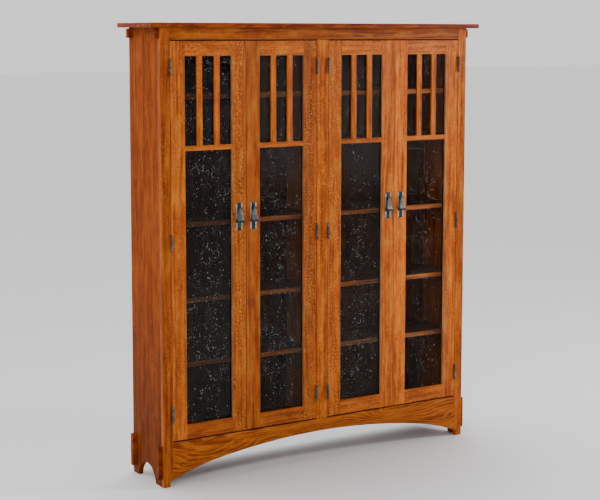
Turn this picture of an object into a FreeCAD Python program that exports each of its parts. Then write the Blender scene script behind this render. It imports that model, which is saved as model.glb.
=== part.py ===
"""Oak bookcase in the plain mission manner: four glazed doors in a face frame, arched sides and a top slab.

Millimetres. X runs along the width, -Y is the front and Z is up. The origin is on the floor, in the middle
of the top slab's outline. Each sub-part is one labelled object, written to the file that its label names.
"""

import FreeCAD, Part
import math
import os
import Sketcher

SIZES = (
    # The carcase: two solid sides, a thin slab on top, boards let into the sides
    ("overall_height", 1832, "floor to the top of the slab"),
    ("case_width", 1495, "over the outer faces of the sides"),
    ("case_depth", 270, "front of the face frame to the back of the sides"),
    ("slab_thickness", 18, "top slab"),
    ("slab_side_overhang", 51, "slab past each side"),
    ("slab_front_overhang", 25, "slab past the face frame"),
    ("slab_arris", 1.5, "bevel on the slab's edges"),
    ("side_thickness", 19, "solid side"),
    ("side_foot_front", 70, "front foot of a side, from the face of the frame"),
    ("side_foot_back", 48, "back foot of a side"),
    ("side_arch_rise", 69, "height of the arch cut in a side"),
    ("deck_thickness", 19, "bottom deck and carcase top"),
    ("housing_depth", 6, "how far the deck is let into a side"),
    ("partition_thickness", 19, "centre partition"),
    ("back_thickness", 6, "back panels"),
    ("back_rabbet", 9, "bearing of the back panel on a side"),
    ("back_foot", 75, "floor to the lower edge of the back"),
    ("back_rail_thickness", 19, "rails behind the deck and the carcase top"),
    ("cleat_width", 25, "cleats that hold the slab"),
    # The face frame, joined with stub tenons
    ("frame_thickness", 20, "stiles, top rail and apron"),
    ("outer_stile_width", 41, "left and right stile"),
    ("centre_stile_width", 54, "stile between the pairs of doors"),
    ("top_rail_width", 48.5, "rail under the slab"),
    ("opening_foot", 180, "floor to the lower edge of the door openings"),
    ("frame_tenon_length", 20, "tenons of the rails and the centre stile"),
    ("frame_tenon_thickness", 7, "the same tenons"),
    ("frame_tenon_shoulder", 9, "shoulder above, below or beside a frame tenon"),
    ("apron_tenon_foot", 60, "floor to the lower edge of the apron's tenons"),
    ("foot_width", 30, "foot of an outer stile, below the arch"),
    ("arch_spring", 22, "height at which the apron's arch starts"),
    ("arch_crown", 127, "height of the apron's arch in the middle"),
    ("arch_haunch_share", 0.70, "where the flat middle of the arch ends, as a share of its half span"),
    ("arch_haunch_fall_share", 0.41, "how far it has fallen there, as a share of its rise"),
    # Blocks on the sides, like the ends of through tenons
    ("block_standout", 18, "how far a block stands out of the side"),
    ("block_depth", 22, "front to back"),
    ("block_setback", 8, "from the face of the frame, and from the back"),
    ("block_bevel", 2, "bevel round the block's end"),
    ("upper_block_height", 37, "block under the slab"),
    ("upper_block_drop", 4, "slab to the top of the block"),
    ("lower_block_height", 132, "block beside the apron"),
    ("lower_block_foot", 33, "floor to the lower block"),
    # Shelves on pins
    ("shelf_thickness", 19, "shelf board"),
    ("shelf_setback", 45, "face of the frame to the shelf's front edge"),
    ("shelf_side_clearance", 1.5, "shelf to the side and to the partition"),
    ("shelf_back_clearance", 1, "shelf to the back panel"),
    ("shelf_1_share", 0.8660, "top of the highest shelf, as a share of the opening's height"),
    ("shelf_2_share", 0.7386, "the shelf behind the grille bars"),
    ("shelf_3_share", 0.5468, "third shelf"),
    ("shelf_4_share", 0.3538, "fourth shelf"),
    ("shelf_5_share", 0.1911, "lowest shelf"),
    ("pin_radius", 3, "shelf pin and its hole"),
    ("pin_bury", 9, "length of a pin inside the wood"),
    ("pin_standout", 9, "length of a pin under the shelf"),
    ("pin_inset", 35, "pin to the front or back edge of the shelf"),
    ("pin_hole_pitch", 32, "step between the spare pin holes"),
    # Doors: four alike, inset in the frame
    ("door_thickness", 20, "door frame"),
    ("door_gap", 2.4, "door to the face frame"),
    ("meeting_gap", 3, "between the two doors of a pair"),
    ("door_stile_width", 63, "door stile"),
    ("door_rail_width", 60, "door rail"),
    ("door_tenon_length", 25, "tenons of a door rail"),
    ("door_tenon_thickness", 7, "the same tenons"),
    ("door_tenon_shoulder", 8, "shoulder above and below a door tenon"),
    ("glass_rabbet_width", 8, "rabbet for the glass, across the door frame"),
    ("glass_rabbet_depth", 10, "rabbet for the glass, from the back of the door"),
    ("glass_thickness", 3, "seeded pane"),
    ("glass_clearance", 1, "pane to the wall of its rabbet"),
    ("grille_thickness", 9, "grille bar and mullions, against the glass"),
    ("grille_bar_width", 20, "horizontal bar"),
    ("mullion_width", 24, "vertical bars above it"),
    ("upper_light_height", 349, "top rail to the grille bar"),
    # Butt hinges, three to a door, with the barrel in front of the frame
    ("hinge_height", 64, "leaves and barrel"),
    ("hinge_upper_drop", 72, "top of the door to the top of the upper hinge"),
    ("hinge_lower_rise", 77, "foot of the door to the foot of the lower hinge"),
    ("leaf_depth", 18, "leaf on the edge of the wood"),
    ("leaf_thickness", 1, "leaf plate"),
    ("barrel_radius", 5, "barrel"),
    ("barrel_clearance", 0.2, "barrel to the face of the wood"),
    ("knuckle_gap", 0.3, "between two knuckles"),
    ("hinge_pin_radius", 2, "hinge pin"),
    ("hinge_pin_clearance", 0.05, "pin in the door's knuckles, all round"),
    ("pin_button_radius", 3.6, "button on each end of the pin"),
    ("pin_button_height", 2, "the same buttons"),
    # Drop pulls, one to a door
    ("pull_height", 1062, "floor to the middle of the back plate"),
    ("plate_width", 28, "back plate"),
    ("plate_height", 112, "back plate"),
    ("plate_thickness", 2.5, "back plate"),
    ("plate_bevel", 1, "bevel round the plate"),
    ("pivot_rise", 31, "middle of the plate to the drop's pivot"),
    ("pivot_standout", 9.5, "face of the door to the pivot"),
    ("ear_radius", 5, "rounded nose of an ear, and the drop's eye"),
    ("ear_thickness", 2.5, "one ear"),
    ("ear_clearance", 0.3, "ear to the eye"),
    ("eye_length", 12, "drop's eye, along its pin"),
    ("pull_pin_radius", 2, "pin through the ears"),
    ("pull_pin_clearance", 0.05, "pin in the eye, all round"),
    ("drop_length", 54, "pivot to the lower edge of the drop"),
    ("drop_back_clearance", 0.5, "plate to the back of the drop"),
    ("blade_head_width", 9, "drop at its eye"),
    ("blade_foot_width", 27, "drop above its lip"),
    ("blade_head_standout", 11, "front of the drop at its eye, from the door"),
    ("blade_foot_standout", 16, "front of the drop above its lip"),
    ("lip_width", 36, "lower edge of the drop"),
    ("lip_standout", 24, "front of the lip, from the door"),
    ("lip_flare_height", 7, "flare between the blade and the lip"),
    ("lip_edge_height", 4, "upright edge of the lip"),
    # Magnetic catches under the carcase top, with a strike plate on each door
    ("catch_width", 40, "catch body"),
    ("catch_depth", 14, "catch body"),
    ("catch_height", 12, "catch body"),
    ("catch_clearance", 0.3, "catch to the strike plate"),
    ("strike_width", 34, "strike plate"),
    ("strike_height", 15, "strike plate"),
    ("strike_thickness", 1.2, "strike plate"),
    ("strike_drop", 1, "top of the door to the strike plate"),
    ("overrun", 5, "how far a cutter passes the wood that it cuts"),
)

# Places worked out from the sizes
PLACES = (
    ("side_x", "sizes.case_width / 2"),
    ("inner_x", "side_x - sizes.side_thickness"),
    ("partition_x", "sizes.partition_thickness / 2"),
    ("slab_depth", "sizes.case_depth + sizes.slab_front_overhang"),
    ("face_y", "sizes.slab_front_overhang - slab_depth / 2"),
    ("frame_back_y", "face_y + sizes.frame_thickness"),
    ("back_y", "face_y + sizes.case_depth"),
    ("back_inner_y", "back_y - sizes.back_thickness"),
    ("slab_under", "sizes.overall_height - sizes.slab_thickness"),
    ("opening_head", "slab_under - sizes.top_rail_width"),
    ("carcase_top_z", "opening_head + sizes.deck_thickness"),
    ("deck_under", "sizes.opening_foot - sizes.deck_thickness"),
    ("opening_x", "side_x - sizes.outer_stile_width"),
    ("arch_x", "side_x - sizes.foot_width"),
    ("arch_rise", "sizes.arch_crown - sizes.arch_spring"),
    ("haunch_x", "arch_x * sizes.arch_haunch_share"),
    ("haunch_fall", "arch_rise * sizes.arch_haunch_fall_share"),
    ("haunch_z", "sizes.arch_crown - haunch_fall"),
    ("crown_radius", "(haunch_x * haunch_x + haunch_fall * haunch_fall) / (2 * haunch_fall)"),
    ("frame_tenon_y", "face_y + (sizes.frame_thickness - sizes.frame_tenon_thickness) / 2"),
    ("side_arch_span", "sizes.case_depth - sizes.side_foot_front - sizes.side_foot_back"),
    ("side_arch_y", "face_y + sizes.side_foot_front + side_arch_span / 2"),
    (
        "side_arch_radius",
        "(side_arch_span * side_arch_span / 4 + sizes.side_arch_rise * sizes.side_arch_rise)"
        " / (2 * sizes.side_arch_rise)",
    ),
    ("opening_height", "opening_head - sizes.opening_foot"),
    ("shelf_1_top", "sizes.opening_foot + opening_height * sizes.shelf_1_share"),
    ("shelf_2_top", "sizes.opening_foot + opening_height * sizes.shelf_2_share"),
    ("shelf_3_top", "sizes.opening_foot + opening_height * sizes.shelf_3_share"),
    ("shelf_4_top", "sizes.opening_foot + opening_height * sizes.shelf_4_share"),
    ("shelf_5_top", "sizes.opening_foot + opening_height * sizes.shelf_5_share"),
    ("shelf_y", "face_y + sizes.shelf_setback"),
    ("shelf_back_y", "back_inner_y - sizes.shelf_back_clearance"),
    ("shelf_depth", "shelf_back_y - shelf_y"),
    ("shelf_x", "partition_x + sizes.shelf_side_clearance"),
    ("shelf_width", "inner_x - partition_x - 2 * sizes.shelf_side_clearance"),
    ("door_foot", "sizes.opening_foot + sizes.door_gap"),
    ("door_head", "opening_head - sizes.door_gap"),
    ("door_height", "door_head - door_foot"),
    ("pair_width", "opening_x - sizes.centre_stile_width / 2"),
    ("door_width", "(pair_width - 2 * sizes.door_gap - sizes.meeting_gap) / 2"),
    ("door_1_x", "-opening_x + sizes.door_gap"),
    ("door_2_x", "door_1_x + door_width + sizes.meeting_gap"),
    ("door_3_x", "sizes.centre_stile_width / 2 + sizes.door_gap"),
    ("door_4_x", "door_3_x + door_width + sizes.meeting_gap"),
    ("light_width", "door_width - 2 * sizes.door_stile_width"),
    ("light_foot", "door_foot + sizes.door_rail_width"),
    ("light_head", "door_head - sizes.door_rail_width"),
    ("door_tenon_y", "face_y + (sizes.door_thickness - sizes.door_tenon_thickness) / 2"),
    ("glass_y", "face_y + sizes.door_thickness - sizes.glass_rabbet_depth"),
    ("glass_back_y", "glass_y + sizes.glass_thickness"),
    ("door_back_y", "face_y + sizes.door_thickness"),
    ("bar_foot", "light_head - sizes.upper_light_height - sizes.grille_bar_width"),
    ("bar_head", "bar_foot + sizes.grille_bar_width"),
    ("small_light_width", "(light_width - 2 * sizes.mullion_width) / 3"),
    ("barrel_y", "face_y - sizes.barrel_radius - sizes.barrel_clearance"),
    ("lower_hinge_z", "door_foot + sizes.hinge_lower_rise"),
    ("upper_hinge_z", "door_head - sizes.hinge_upper_drop - sizes.hinge_height"),
    ("middle_hinge_z", "(lower_hinge_z + upper_hinge_z) / 2"),
    ("pivot_z", "sizes.pull_height + sizes.pivot_rise"),
    ("pivot_y", "face_y - sizes.pivot_standout"),
)

DOORS = ("1", "2", "3", "4")
HINGED_LEFT = ("1", "3")
SHELVES = ("1", "2", "3", "4", "5")
PIN_HOLE_STEPS = (-2, -1, 0, 1, 2)
KNUCKLES = ("case", "door", "case", "door", "case")
UP = FreeCAD.Vector(0, 0, 1)
ALONG_X = FreeCAD.Vector(1, 0, 0)
ALONG_Y = FreeCAD.Vector(0, 1, 0)

doc = FreeCAD.newDocument("Bookcase")


def fill_sheet(name, rows):
    """A sheet with one aliased cell per row."""
    sheet = doc.addObject("Spreadsheet::Sheet", name)
    for number, row in enumerate(rows, start=1):
        cell = f"B{number}"
        sheet.set(f"A{number}", row[0])
        sheet.setAlias(cell, row[0])
        sheet.set(cell, str(row[1]))
        if len(row) > 2:
            sheet.set(f"C{number}", row[2])
    return sheet


sizes = fill_sheet("sizes", SIZES)
places = fill_sheet("places", [(alias, "=" + formula) for alias, formula in PLACES])
doc.recompute()

subparts = []


def keep(label, item):
    """Names a finished sub-part and puts it on the list of those that are written."""
    item.Label = label
    subparts.append(item)
    return item


def place(item, x, y, z):
    """Binds an object's place to expressions."""
    for axis, expression in zip("xyz", (x, y, z)):
        item.setExpression(f"Placement.Base.{axis}", str(expression))


def box(name, x, y, z, length, width, height):
    """A board: its lowest corner, then its size along X, Y and Z."""
    board = doc.addObject("Part::Box", name)
    board.setExpression("Length", str(length))
    board.setExpression("Width", str(width))
    board.setExpression("Height", str(height))
    place(board, x, y, z)
    return board


def rod(name, axis, x, y, z, radius, length):
    """A round bar from a point, along an axis."""
    bar = doc.addObject("Part::Cylinder", name)
    bar.Placement.Rotation = FreeCAD.Rotation(UP, axis)
    bar.setExpression("Radius", str(radius))
    bar.setExpression("Height", str(length))
    place(bar, x, y, z)
    return bar


def group(name, items):
    """Separate solids of one kind, side by side."""
    together = doc.addObject("Part::Compound", name)
    together.Links = list(items)
    return together


def cut(name, base, tools):
    """A base with every tool taken out of it."""
    pared = doc.addObject("Part::Cut", name)
    pared.Base = base
    pared.Tool = tools[0] if len(tools) == 1 else group(name + "_tools", tools)
    return pared


def fuse(name, items):
    """Pieces that are one solid on the real object."""
    joined = doc.addObject("Part::MultiFuse", name)
    joined.Shapes = list(items)
    joined.Refine = True
    return joined


def edges_at(shape, axis, value):
    """The numbers of the edges that lie wholly at one coordinate."""
    found = []
    for number, edge in enumerate(shape.Edges, start=1):
        spread = [getattr(vertex.Point, axis) for vertex in edge.Vertexes]
        if all(abs(coordinate - value) < Part.Precision.confusion() for coordinate in spread):
            found.append(number)
    return found


def bevel(name, base, numbers, size):
    """A base with the numbered edges bevelled."""
    doc.recompute()
    eased = doc.addObject("Part::Chamfer", name)
    eased.Base = base
    eased.Edges = [(number, size, size) for number in numbers]
    return eased


def formed(name, shape):
    """A piece made of repeated shapes, which no single primitive gives."""
    piece = doc.addObject("Part::Feature", name)
    piece.Shape = shape
    return piece


# Face frame: stiles to the floor, rails between them with stub tenons, one arch under all three
def arch_cutter():
    """The space under the apron: a flat middle arc and two tighter haunches, tangent where they meet."""
    sketch = doc.addObject("Sketcher::SketchObject", "arch_outline")
    sketch.Placement.Rotation = FreeCAD.Rotation(ALONG_X, 90)
    end_x, haunch_x = places.arch_x, places.haunch_x
    spring, haunch_z, crown = sizes.arch_spring, places.haunch_z, sizes.arch_crown
    low = -sizes.overrun
    start_turn = math.asin(haunch_x / places.crown_radius)
    chord_turn = math.atan2(haunch_z - spring, end_x - haunch_x)
    chord = math.hypot(haunch_z - spring, end_x - haunch_x)
    haunch_radius = chord / (2 * math.sin(chord_turn - start_turn))
    bulge_x = haunch_x + haunch_radius * (math.sin(chord_turn) - math.sin(start_turn))
    bulge_z = haunch_z + haunch_radius * (math.cos(chord_turn) - math.cos(start_turn))

    def point(x, z):
        return FreeCAD.Vector(x, z, 0)

    right_haunch, left_haunch = point(haunch_x, haunch_z), point(-haunch_x, haunch_z)
    right_foot, left_foot = point(end_x, spring), point(-end_x, spring)
    middle = sketch.addGeometry(Part.Arc(right_haunch, point(0, crown), left_haunch))
    right = sketch.addGeometry(Part.Arc(right_foot, point(bulge_x, bulge_z), right_haunch))
    left = sketch.addGeometry(Part.Arc(left_haunch, point(-bulge_x, bulge_z), left_foot))
    left_line = sketch.addGeometry(Part.LineSegment(left_foot, point(-end_x, low)))
    floor_line = sketch.addGeometry(Part.LineSegment(point(-end_x, low), point(end_x, low)))
    right_line = sketch.addGeometry(Part.LineSegment(point(end_x, low), right_foot))
    sketch.addConstraint(Sketcher.Constraint("Tangent", right, 2, middle, 1))
    sketch.addConstraint(Sketcher.Constraint("Tangent", middle, 2, left, 1))
    sketch.addConstraint(Sketcher.Constraint("Coincident", left, 2, left_line, 1))
    sketch.addConstraint(Sketcher.Constraint("Coincident", left_line, 2, floor_line, 1))
    sketch.addConstraint(Sketcher.Constraint("Coincident", floor_line, 2, right_line, 1))
    sketch.addConstraint(Sketcher.Constraint("Coincident", right_line, 2, right, 1))
    sketch.addConstraint(Sketcher.Constraint("Horizontal", floor_line))
    sketch.addConstraint(Sketcher.Constraint("Vertical", left_line))
    sketch.addConstraint(Sketcher.Constraint("Vertical", right_line))
    bound = (
        ("DistanceX", right, 1, end_x, "places.arch_x"),
        ("DistanceY", right, 1, spring, "sizes.arch_spring"),
        ("DistanceX", left, 2, -end_x, "-places.arch_x"),
        ("DistanceY", left, 2, spring, "sizes.arch_spring"),
        ("DistanceY", floor_line, 1, low, "-sizes.overrun"),
        ("DistanceX", middle, 1, haunch_x, "places.haunch_x"),
        ("DistanceY", middle, 1, haunch_z, "places.haunch_z"),
        ("DistanceX", middle, 2, -haunch_x, "-places.haunch_x"),
        ("DistanceY", middle, 2, haunch_z, "places.haunch_z"),
    )
    for kind, geometry, end, value, expression in bound:
        number = sketch.addConstraint(Sketcher.Constraint(kind, geometry, end, value))
        sketch.setExpression(f"Constraints[{number}]", expression)
    number = sketch.addConstraint(Sketcher.Constraint("Radius", middle, places.crown_radius))
    sketch.setExpression(f"Constraints[{number}]", "places.crown_radius")
    place(sketch, 0, "places.face_y - sizes.overrun", 0)
    solid = doc.addObject("Part::Extrusion", "arch_cutter")
    solid.Base = sketch
    solid.DirMode = "Custom"
    solid.Dir = ALONG_Y
    solid.Solid = True
    solid.setExpression("LengthFwd", "sizes.frame_thickness + 2 * sizes.overrun")
    return solid


arch = arch_cutter()
rail_tenon = box(
    "top_rail_tenon",
    "-places.opening_x - sizes.frame_tenon_length",
    "places.frame_tenon_y",
    "places.opening_head + sizes.frame_tenon_shoulder",
    "2 * places.opening_x + 2 * sizes.frame_tenon_length",
    "sizes.frame_tenon_thickness",
    "sizes.top_rail_width - 2 * sizes.frame_tenon_shoulder",
)
apron_tenon = box(
    "apron_tenon",
    "-places.opening_x - sizes.frame_tenon_length",
    "places.frame_tenon_y",
    "sizes.apron_tenon_foot",
    "2 * places.opening_x + 2 * sizes.frame_tenon_length",
    "sizes.frame_tenon_thickness",
    "sizes.opening_foot - sizes.apron_tenon_foot - sizes.frame_tenon_shoulder",
)
stile_tenon = box(
    "centre_stile_tenon",
    "-sizes.centre_stile_width / 2 + sizes.frame_tenon_shoulder",
    "places.frame_tenon_y",
    "sizes.opening_foot - sizes.frame_tenon_length",
    "sizes.centre_stile_width - 2 * sizes.frame_tenon_shoulder",
    "sizes.frame_tenon_thickness",
    "places.opening_height + 2 * sizes.frame_tenon_length",
)
for side, start in (("left", "-places.side_x"), ("right", "places.opening_x")):
    stile = box(
        f"stile_{side}_board",
        start,
        "places.face_y",
        0,
        "sizes.outer_stile_width",
        "sizes.frame_thickness",
        "places.slab_under",
    )
    keep(f"front_stile_{side}", cut(f"stile_{side}", stile, (arch, rail_tenon, apron_tenon)))

centre_board = box(
    "centre_stile_board",
    "-sizes.centre_stile_width / 2",
    "places.face_y",
    "sizes.opening_foot",
    "sizes.centre_stile_width",
    "sizes.frame_thickness",
    "places.opening_height",
)
keep("centre_stile", fuse("centre_stile_with_tenons", (centre_board, stile_tenon)))

rail_board = box(
    "top_rail_board",
    "-places.opening_x",
    "places.face_y",
    "places.opening_head",
    "2 * places.opening_x",
    "sizes.frame_thickness",
    "sizes.top_rail_width",
)
rail_blank = fuse("top_rail_with_tenons", (rail_board, rail_tenon))
keep("top_rail", cut("top_rail_mortised", rail_blank, (stile_tenon,)))

apron_board = box(
    "apron_board",
    "-places.opening_x",
    "places.face_y",
    "sizes.arch_spring",
    "2 * places.opening_x",
    "sizes.frame_thickness",
    "sizes.opening_foot - sizes.arch_spring",
)
apron_blank = fuse("apron_with_tenons", (apron_board, apron_tenon))
keep("arched_apron", cut("apron_cut", apron_blank, (arch, stile_tenon)))

# Top slab with its edges eased
slab_board = box(
    "slab_board",
    "-places.side_x - sizes.slab_side_overhang",
    "-places.slab_depth / 2",
    "places.slab_under",
    "sizes.case_width + 2 * sizes.slab_side_overhang",
    "places.slab_depth",
    "sizes.slab_thickness",
)
doc.recompute()
slab_edges = edges_at(slab_board.Shape, "z", sizes.overall_height)
slab_edges += edges_at(slab_board.Shape, "z", places.slab_under)
keep("top_slab", bevel("slab_eased", slab_board, slab_edges, sizes.slab_arris))

# Carcase boards, let into housings in the sides
deck_length = "2 * places.inner_x + 2 * sizes.housing_depth"
deck_start = "-places.inner_x - sizes.housing_depth"
deck_depth = "places.back_inner_y - places.frame_back_y"
deck = box(
    "deck",
    deck_start,
    "places.frame_back_y",
    "places.deck_under",
    deck_length,
    deck_depth,
    "sizes.deck_thickness",
)
keep("bottom_deck", deck)
carcase_top = box(
    "top_board",
    deck_start,
    "places.frame_back_y",
    "places.opening_head",
    deck_length,
    deck_depth,
    "sizes.deck_thickness",
)
keep("carcase_top", carcase_top)


def shelf_pin_places():
    """The height and the two depths of the pins under each shelf."""
    front = places.shelf_y + sizes.pin_inset
    back = places.shelf_back_y - sizes.pin_inset
    for level in SHELVES:
        height = getattr(places, f"shelf_{level}_top") - sizes.shelf_thickness - sizes.pin_radius
        yield height, (front, back)


def pin_holes(start_x):
    """A column of holes beside each pin place, drilled along X into one face of a board."""
    holes = []
    for height, depths in shelf_pin_places():
        for step in PIN_HOLE_STEPS:
            for depth in depths:
                mouth = FreeCAD.Vector(start_x, depth, height + step * sizes.pin_hole_pitch)
                holes.append(Part.makeCylinder(sizes.pin_radius, sizes.pin_bury, mouth, ALONG_X))
    return Part.makeCompound(holes)


side_arch = rod(
    "side_arch_cutter",
    ALONG_X,
    "-places.side_x - sizes.overrun",
    "places.side_arch_y",
    "sizes.side_arch_rise - places.side_arch_radius",
    "places.side_arch_radius",
    "sizes.case_width + 2 * sizes.overrun",
)
back_rabbet = box(
    "back_rabbet_cutter",
    "-places.inner_x - sizes.back_rabbet",
    "places.back_inner_y",
    "sizes.back_foot",
    "2 * places.inner_x + 2 * sizes.back_rabbet",
    "sizes.back_thickness + sizes.overrun",
    "places.slab_under - sizes.back_foot + sizes.overrun",
)
for side, start, drill_x in (
    ("left", "-places.side_x", -places.inner_x - sizes.pin_bury),
    ("right", "places.inner_x", places.inner_x),
):
    board = box(
        f"side_{side}_board",
        start,
        "places.frame_back_y",
        0,
        "sizes.side_thickness",
        "places.back_y - places.frame_back_y",
        "places.slab_under",
    )
    drilled = formed(f"pin_holes_{side}", pin_holes(drill_x))
    cutters = (side_arch, deck, carcase_top, back_rabbet, drilled)
    keep(f"side_{side}", cut(f"side_{side}_cut", board, cutters))

partition_board = box(
    "partition_board",
    "-places.partition_x",
    "places.frame_back_y",
    "sizes.opening_foot",
    "sizes.partition_thickness",
    deck_depth,
    "places.opening_height",
)
partition_left = formed("pin_holes_partition_left", pin_holes(-places.partition_x))
partition_right = formed("pin_holes_partition_right", pin_holes(places.partition_x - sizes.pin_bury))
keep("centre_partition", cut("partition_drilled", partition_board, (partition_left, partition_right)))

# Back: two panels in the rabbets of the sides, meeting on the partition, and a rail above and below
back_panels = [
    box(
        f"back_panel_{side}",
        start,
        "places.back_inner_y",
        "sizes.back_foot",
        "places.inner_x + sizes.back_rabbet",
        "sizes.back_thickness",
        "places.slab_under - sizes.back_foot",
    )
    for side, start in (("left", "-places.inner_x - sizes.back_rabbet"), ("right", 0))
]
keep("back_panels", group("back_panels_pair", back_panels))
back_rail_y = "places.back_inner_y - sizes.back_rail_thickness"
lower_rail = box(
    "back_rail_lower",
    "-places.inner_x",
    back_rail_y,
    "sizes.back_foot",
    "2 * places.inner_x",
    "sizes.back_rail_thickness",
    "places.deck_under - sizes.back_foot",
)
upper_rail = box(
    "back_rail_upper",
    "-places.inner_x",
    back_rail_y,
    "places.carcase_top_z",
    "2 * places.inner_x",
    "sizes.back_rail_thickness",
    "places.slab_under - places.carcase_top_z",
)
keep("back_rails", group("back_rails_pair", (lower_rail, upper_rail)))
cleats = [
    box(
        f"cleat_{side}",
        start,
        "places.frame_back_y",
        "places.carcase_top_z",
        "sizes.cleat_width",
        f"{back_rail_y} - places.frame_back_y",
        "places.slab_under - places.carcase_top_z",
    )
    for side, start in (("left", "-places.inner_x"), ("right", "places.inner_x - sizes.cleat_width"))
]
keep("top_cleats", group("top_cleats_pair", cleats))


# Tenon blocks on the sides
def block_row(row, foot, height):
    """Four blocks at one height, with the edges of their outer ends bevelled."""
    blocks = []
    for side, start, end_sign in (
        ("left", "-places.side_x - sizes.block_standout", -1),
        ("right", "places.side_x", 1),
    ):
        for where, depth in (
            ("front", "places.face_y + sizes.block_setback"),
            ("back", "places.back_y - sizes.block_setback - sizes.block_depth"),
        ):
            name = f"{row}_block_{side}_{where}"
            blank = box(
                f"{name}_blank",
                start,
                depth,
                foot,
                "sizes.block_standout",
                "sizes.block_depth",
                height,
            )
            doc.recompute()
            ends = edges_at(blank.Shape, "x", end_sign * (places.side_x + sizes.block_standout))
            blocks.append(bevel(name, blank, ends, sizes.block_bevel))
    return blocks


upper_foot = "places.slab_under - sizes.upper_block_drop - sizes.upper_block_height"
upper_blocks = block_row("upper", upper_foot, "sizes.upper_block_height")
lower_blocks = block_row("lower", "sizes.lower_block_foot", "sizes.lower_block_height")
keep("tenon_blocks", group("block_rows", upper_blocks + lower_blocks))

# Shelves, one board in each bay, on four pins
for level in SHELVES:
    boards = [
        box(
            f"shelf_{level}_{side}",
            start,
            "places.shelf_y",
            f"places.shelf_{level}_top - sizes.shelf_thickness",
            "places.shelf_width",
            "places.shelf_depth",
            "sizes.shelf_thickness",
        )
        for side, start in (("left", "-places.shelf_x - places.shelf_width"), ("right", "places.shelf_x"))
    ]
    keep(f"shelf_{level}", group(f"shelf_{level}_pair", boards))

pins = []
pin_length = sizes.pin_bury + sizes.pin_standout
for height, depths in shelf_pin_places():
    for depth in depths:
        for start_x in (
            -places.inner_x - sizes.pin_bury,
            -places.partition_x - sizes.pin_standout,
            places.partition_x - sizes.pin_bury,
            places.inner_x - sizes.pin_standout,
        ):
            start = FreeCAD.Vector(start_x, depth, height)
            pins.append(Part.makeCylinder(sizes.pin_radius, pin_length, start, ALONG_X))
keep("shelf_pins", formed("pins", Part.makeCompound(pins)))


# Butt hinges: a leaf on the door's edge, a leaf on the stile's edge and a pin, about the barrel's middle
def hinge_leaf(name, owner):
    """The door's or the case's leaf about a pin at the origin, with its plate reaching back along Y."""
    half_gap = "(sizes.door_gap / 2 - sizes.leaf_thickness)"
    start = half_gap if owner == "door" else f"-{half_gap} - sizes.leaf_thickness"
    reach = "sizes.barrel_radius + sizes.barrel_clearance"
    plate = box(
        f"{name}_plate", start, reach, 0, "sizes.leaf_thickness", "sizes.leaf_depth", "sizes.hinge_height"
    )
    pieces = [plate]
    for number, knuckle_owner in enumerate(KNUCKLES):
        if knuckle_owner != owner:
            continue
        foot = f"sizes.hinge_height * {number} / {len(KNUCKLES)} + sizes.knuckle_gap / 2"
        height = f"sizes.hinge_height / {len(KNUCKLES)} - sizes.knuckle_gap"
        pieces.append(box(f"{name}_tab_{number}", start, 0, foot, "sizes.leaf_thickness", reach, height))
        pieces.append(rod(f"{name}_knuckle_{number}", UP, 0, 0, foot, "sizes.barrel_radius", height))
    bore_radius = "sizes.hinge_pin_radius"
    if owner == "door":
        bore_radius += " + sizes.hinge_pin_clearance"
    bore = rod(
        f"{name}_bore", UP, 0, 0, "-sizes.overrun", bore_radius, "sizes.hinge_height + 2 * sizes.overrun"
    )
    return cut(name, fuse(f"{name}_blank", pieces), (bore,))


door_leaf = hinge_leaf("door_leaf", "door")
case_leaf = hinge_leaf("case_leaf", "case")
pin_shank = rod("hinge_pin_shank", UP, 0, 0, 0, "sizes.hinge_pin_radius", "sizes.hinge_height")
button = ("sizes.pin_button_radius", "sizes.pin_button_height")
pin_foot_button = rod("hinge_pin_foot", UP, 0, 0, "-sizes.pin_button_height", *button)
pin_head_button = rod("hinge_pin_head", UP, 0, 0, "sizes.hinge_height", *button)
hinge_pin = fuse("hinge_pin", (pin_shank, pin_foot_button, pin_head_button))
doc.recompute()


def hinge_side(door):
    """1 where the door lies to the right of its hinges, -1 where it lies to their left."""
    return 1 if door in HINGED_LEFT else -1


def hinge_x(door):
    """The X of a door's hinge pins, in the middle of the gap beside it."""
    edge = getattr(places, f"door_{door}_x")
    if hinge_side(door) > 0:
        return edge - sizes.door_gap / 2
    return edge + places.door_width + sizes.door_gap / 2


def at_hinges(door, pattern):
    """Copies of a hinge piece at a door's three hinges, turned over for a door that lies to their left."""
    origin = FreeCAD.Vector(0, 0, 0)
    shape = pattern.Shape if hinge_side(door) > 0 else pattern.Shape.mirror(origin, ALONG_X)
    copies = []
    for height in (places.lower_hinge_z, places.middle_hinge_z, places.upper_hinge_z):
        copies.append(shape.translated(FreeCAD.Vector(hinge_x(door), places.barrel_y, height)))
    return copies


case_leaves = [leaf for door in DOORS for leaf in at_hinges(door, case_leaf)]
hinge_pins = [pin for door in DOORS for pin in at_hinges(door, hinge_pin)]
keep("case_hinge_leaves", formed("case_leaves", Part.makeCompound(case_leaves)))
keep("hinge_pins", formed("pins_of_hinges", Part.makeCompound(hinge_pins)))


# Doors
def wedge(name, x, foot, height, widths, standouts):
    """A tapered block on the face of a door: its width and front at the foot and at the head."""
    block = doc.addObject("Part::Wedge", name)
    block.Placement.Rotation = FreeCAD.Rotation(ALONG_X, 90)
    back = "(sizes.plate_thickness + sizes.drop_back_clearance)"
    bound = (
        ("Xmin", f"-{widths[0]} / 2"),
        ("Xmax", f"{widths[0]} / 2"),
        ("X2min", f"-{widths[1]} / 2"),
        ("X2max", f"{widths[1]} / 2"),
        ("Ymin", "0"),
        ("Ymax", height),
        ("Zmin", back),
        ("Zmax", standouts[0]),
        ("Z2min", back),
        ("Z2max", standouts[1]),
    )
    for name_of_size, expression in bound:
        block.setExpression(name_of_size, expression)
    place(block, x, "places.face_y", foot)
    return block


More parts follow.
